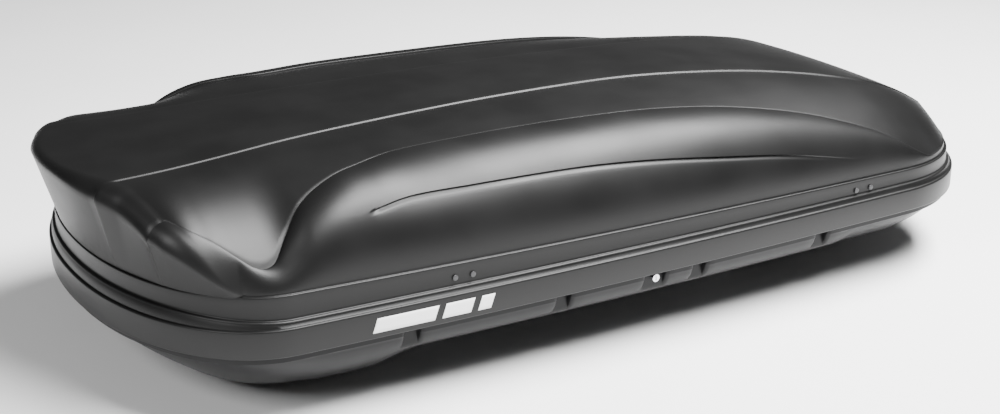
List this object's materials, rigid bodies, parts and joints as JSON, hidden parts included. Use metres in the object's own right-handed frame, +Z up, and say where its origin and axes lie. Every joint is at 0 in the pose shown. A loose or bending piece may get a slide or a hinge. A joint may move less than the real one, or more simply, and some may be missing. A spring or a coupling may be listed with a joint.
{
  "type": "roof cargo box",
  "caption": "Hard roof box for a car: hinged lid with an undercut tail and styled sides, base tray, gas lid stays, central key lock and U-bolt roof-bar clamps.",
  "frame": {"origin": "middle of the box at the lowest level of the base, which the box rests on", "axes": "+X towards the nose, +Y towards the hinge side, +Z up"},
  "size_m": [1.646, 0.7898, 0.3654],
  "materials": {
    "lid_plastic": "fine-grained satin black",
    "base_plastic": "smooth dark grey, slightly glossy",
    "seal_rubber": "matte foam rubber",
    "badge_film": "white vinyl film",
    "lock_chrome": "polished",
    "moulded_black": "textured moulding",
    "buckle_steel": "black powder coat",
    "strap_webbing": "woven polyester",
    "rod_chrome": "hard chrome",
    "coated_steel": "black e-coat",
    "zinc_steel": "bright zinc plate"
  },
  "bodies": {
    "base": {"base_shell": "base_plastic", "rim_seal": "seal_rubber", "hinge_1_base_leaf": "coated_steel", "hinge_2_base_leaf": "coated_steel", "hinge_3_base_leaf": "coated_steel", "hinge_4_base_leaf": "coated_steel", "hinge_1_pin": "zinc_steel", "hinge_2_pin": "zinc_steel", "hinge_3_pin": "zinc_steel", "hinge_4_pin": "zinc_steel", "rear_stay_base_bracket": "coated_steel", "front_stay_base_bracket": "coated_steel", "lock_housing": "moulded_black", "lock_rail": "zinc_steel", "floor_rail_left": "zinc_steel", "floor_rail_right": "zinc_steel", "u_bolt_rear_left": "zinc_steel", "u_bolt_front_left": "zinc_steel", "u_bolt_rear_right": "zinc_steel", "u_bolt_front_right": "zinc_steel", "strap_1": "strap_webbing", "strap_2": "strap_webbing", "strap_buckle_1": "buckle_steel", "strap_buckle_2": "buckle_steel"},
    "lid": {"lid_shell": "lid_plastic", "hinge_1_lid_leaf": "coated_steel", "hinge_2_lid_leaf": "coated_steel", "hinge_3_lid_leaf": "coated_steel", "hinge_4_lid_leaf": "coated_steel", "rear_lid_rib": "zinc_steel", "front_lid_rib": "zinc_steel", "rear_stay_lid_bracket": "coated_steel", "front_stay_lid_bracket": "coated_steel", "lid_striker_1": "zinc_steel", "lid_striker_2": "zinc_steel", "lid_striker_3": "zinc_steel", "rim_screw_1": "coated_steel", "rim_screw_2": "coated_steel", "rim_screw_3": "coated_steel", "rim_screw_4": "coated_steel", "side_badge": "badge_film"},
    "key": {"key_barrel": "lock_chrome"},
    "lock_slider": {"lock_bar": "zinc_steel", "lock_hook_1": "coated_steel", "lock_hook_2": "coated_steel", "lock_hook_3": "coated_steel"},
    "rear_stay_cylinder": {"rear_stay_tube": "coated_steel"},
    "rear_stay_piston": {"rear_stay_rod": "rod_chrome"},
    "front_stay_cylinder": {"front_stay_tube": "coated_steel"},
    "front_stay_piston": {"front_stay_rod": "rod_chrome"},
    "knob_rear_left_a": {"knob_rear_left_a": "moulded_black"},
    "knob_rear_left_b": {"knob_rear_left_b": "moulded_black"},
    "knob_front_left_a": {"knob_front_left_a": "moulded_black"},
    "knob_front_left_b": {"knob_front_left_b": "moulded_black"},
    "knob_rear_right_a": {"knob_rear_right_a": "moulded_black"},
    "knob_rear_right_b": {"knob_rear_right_b": "moulded_black"},
    "knob_front_right_a": {"knob_front_right_a": "moulded_black"},
    "knob_front_right_b": {"knob_front_right_b": "moulded_black"}
  },
  "joints": [
    {"name": "lid_hinge", "type": "hinge", "parent": "base", "child": "lid", "pos_m": [-0.022, 0.372, 0.117], "axis": [-1, 0, 0], "range_deg": [0, 45]},
    {"name": "key_turn", "type": "hinge", "parent": "base", "child": "key", "pos_m": [0.019, -0.37, 0.114], "axis": [0, 1, 0], "range_deg": [0, 90]},
    {"name": "lock_slide", "type": "slide", "parent": "base", "child": "lock_slider", "axis": [1, 0, 0], "range_m": [0, 0.018]},
    {"name": "rear_stay_pivot", "type": "hinge", "parent": "base", "child": "rear_stay_cylinder", "pos_m": [-0.564, 0.3025, 0.0818], "axis": [-1, 0, 0], "range_deg": [0, 46]},
    {"name": "rear_stay_stroke", "type": "slide", "parent": "rear_stay_cylinder", "child": "rear_stay_piston", "axis": [0, -0.738, 0.6749], "range_m": [0, 0.0605]},
    {"name": "front_stay_pivot", "type": "hinge", "parent": "base", "child": "front_stay_cylinder", "pos_m": [0.531, 0.3025, 0.0818], "axis": [-1, 0, 0], "range_deg": [0, 46]},
    {"name": "front_stay_stroke", "type": "slide", "parent": "front_stay_cylinder", "child": "front_stay_piston", "axis": [0, -0.738, 0.6749], "range_m": [0, 0.0605]},
    {"name": "knob_rear_left_a_turn", "type": "hinge", "parent": "base", "child": "knob_rear_left_a", "pos_m": [-0.337, 0.19, 0.095], "axis": [0, 0, 1], "continuous": true},
    {"name": "knob_rear_left_b_turn", "type": "hinge", "parent": "base", "child": "knob_rear_left_b", "pos_m": [-0.267, 0.19, 0.095], "axis": [0, 0, 1], "continuous": true},
    {"name": "knob_front_left_a_turn", "type": "hinge", "parent": "base", "child": "knob_front_left_a", "pos_m": [0.223, 0.19, 0.095], "axis": [0, 0, 1], "continuous": true},
    {"name": "knob_front_left_b_turn", "type": "hinge", "parent": "base", "child": "knob_front_left_b", "pos_m": [0.293, 0.19, 0.095], "axis": [0, 0, 1], "continuous": true},
    {"name": "knob_rear_right_a_turn", "type": "hinge", "parent": "base", "child": "knob_rear_right_a", "pos_m": [-0.337, -0.19, 0.095], "axis": [0, 0, 1], "continuous": true},
    {"name": "knob_rear_right_b_turn", "type": "hinge", "parent": "base", "child": "knob_rear_right_b", "pos_m": [-0.267, -0.19, 0.095], "axis": [0, 0, 1], "continuous": true},
    {"name": "knob_front_right_a_turn", "type": "hinge", "parent": "base", "child": "knob_front_right_a", "pos_m": [0.223, -0.19, 0.095], "axis": [0, 0, 1], "continuous": true},
    {"name": "knob_front_right_b_turn", "type": "hinge", "parent": "base", "child": "knob_front_right_b", "pos_m": [0.293, -0.19, 0.095], "axis": [0, 0, 1], "continuous": true}
  ],
  "couplings": [
    {"joint": "key_turn", "follows": "lock_slide", "rad_per_m": 87.26},
    {"joint": "rear_stay_pivot", "follows": "lid_hinge", "ratio": 1.0144},
    {"joint": "rear_stay_stroke", "follows": "lid_hinge", "m_per_rad": 0.07627},
    {"joint": "front_stay_pivot", "follows": "lid_hinge", "ratio": 1.0144},
    {"joint": "front_stay_stroke", "follows": "lid_hinge", "m_per_rad": 0.07627}
  ]
}
